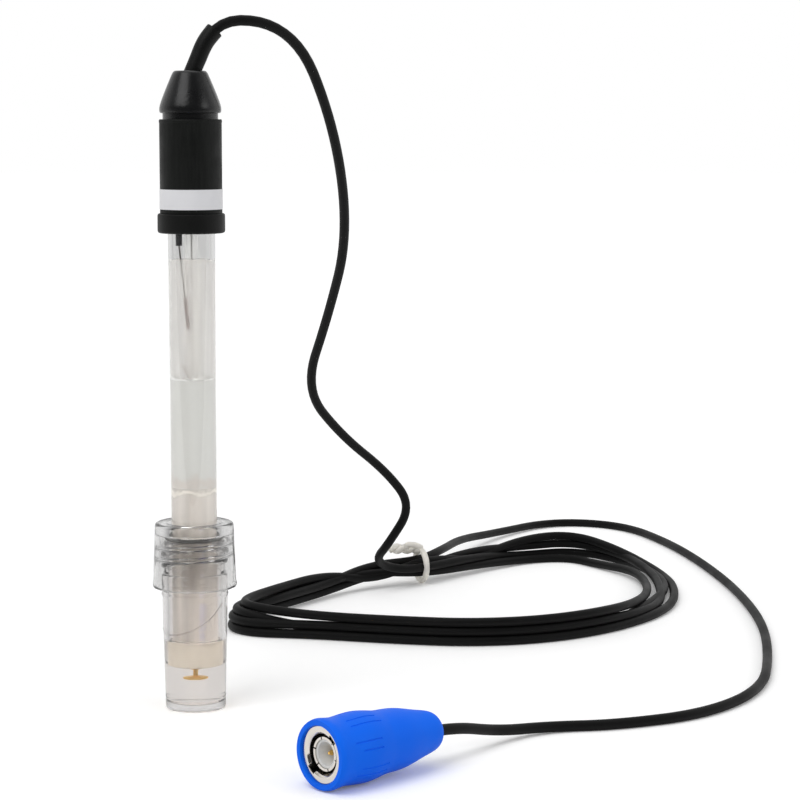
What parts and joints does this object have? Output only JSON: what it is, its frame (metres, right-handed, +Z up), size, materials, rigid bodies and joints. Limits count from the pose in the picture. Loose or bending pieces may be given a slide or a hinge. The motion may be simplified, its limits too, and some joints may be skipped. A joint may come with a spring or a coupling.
{
  "type": "redox electrode",
  "caption": "Redox electrode in a clear screw-capped storage bottle, with a black head, a tied hank of cord and a coaxial plug in a soft blue boot.",
  "frame": {"origin": "centre of the bottle's foot, on the surface that it stands on", "axes": "+Z up along the shaft, -Y to the front, where the plug lies, and +X to the side of the hank"},
  "size_m": [0.1778, 0.3818, 0.1822],
  "materials": {
    "clear_bottle": "clear gloss",
    "clear_cap": "clear gloss",
    "seal_rubber": "satin",
    "solution": "liquid",
    "clear_tube": "clear gloss",
    "cream_ceramic": "matte",
    "junction_ceramic": "matte",
    "gold_metal": "polished",
    "inner_glass": "clear gloss",
    "pink_beige_gel": "satin",
    "milky_gel": "satin",
    "faint_pink_gel": "satin",
    "dark_resin": "matte",
    "silver_wire": "satin",
    "coated_wire": "matte",
    "wick_fibre": "matte",
    "black_plastic": "satin",
    "white_label": "satin",
    "black_gloss": "gloss",
    "black_sleeve": "satin",
    "black_cord": "satin",
    "tie_plastic": "satin",
    "blue_boot": "satin",
    "nickel": "polished",
    "white_insulator": "satin",
    "spring_steel": "satin"
  },
  "bodies": {
    "base": {"storage_bottle": "clear_bottle", "storage_solution": "solution", "cord_coil": "black_cord", "cord_tail": "black_cord", "cord_tie": "tie_plastic", "connector_body": "nickel", "outer_contact": "nickel", "insulator": "white_insulator", "centre_pin": "gold_metal", "mouth_gasket": "seal_rubber", "crimp_ferrule": "nickel", "retaining_ring": "spring_steel", "wave_washer": "spring_steel"},
    "electrode": {"outer_tube": "clear_tube", "tip_seat": "cream_ceramic", "junction_pin": "junction_ceramic", "sensor_tip": "gold_metal", "inner_tube": "inner_glass", "lower_gel": "pink_beige_gel", "middle_gel": "milky_gel", "upper_gel": "faint_pink_gel", "potting_plug": "dark_resin", "sensor_lead": "silver_wire", "reference_coat": "coated_wire", "reference_wire": "silver_wire", "wire_splice": "dark_resin", "reference_lead": "silver_wire", "reference_wick": "wick_fibre", "collar_ring": "black_plastic", "grip_sleeve": "black_plastic", "label_band": "white_label", "head_cap": "black_gloss", "strain_relief": "black_sleeve", "cord_lead": "black_cord"},
    "cap_seal": {"seal_ring": "seal_rubber"},
    "cap": {"bottle_cap": "clear_cap"},
    "plug_washer": {"thrust_washer": "spring_steel"},
    "plug_shell": {"coupling_ring": "nickel", "plug_boot": "blue_boot"}
  },
  "joints": [
    {"name": "electrode_pull", "type": "slide", "parent": "base", "child": "electrode", "axis": [0, 0, 1], "range_m": [0, 0.05]},
    {"name": "cap_rise", "type": "slide", "parent": "base", "child": "cap_seal", "axis": [0, 0, 1], "range_m": [0, 0.0076]},
    {"name": "cap_turn", "type": "hinge", "parent": "cap_seal", "child": "cap", "pos_m": [0, 0, 0.04], "axis": [0, 0, 1], "range_deg": [0, 900]},
    {"name": "coupling_push", "type": "slide", "parent": "base", "child": "plug_washer", "axis": [-0.7431, -0.6691, 0], "range_m": [0, 0.0008], "stiffness_N_per_m": 2000},
    {"name": "coupling_turn", "type": "hinge", "parent": "plug_washer", "child": "plug_shell", "pos_m": [0.0355, -0.0842, 0.0086], "axis": [-0.7431, -0.6691, 0], "continuous": true}
  ],
  "couplings": [
    {"joint": "cap_rise", "follows": "cap_turn", "m_per_rad": 0.00047746}
  ]
}
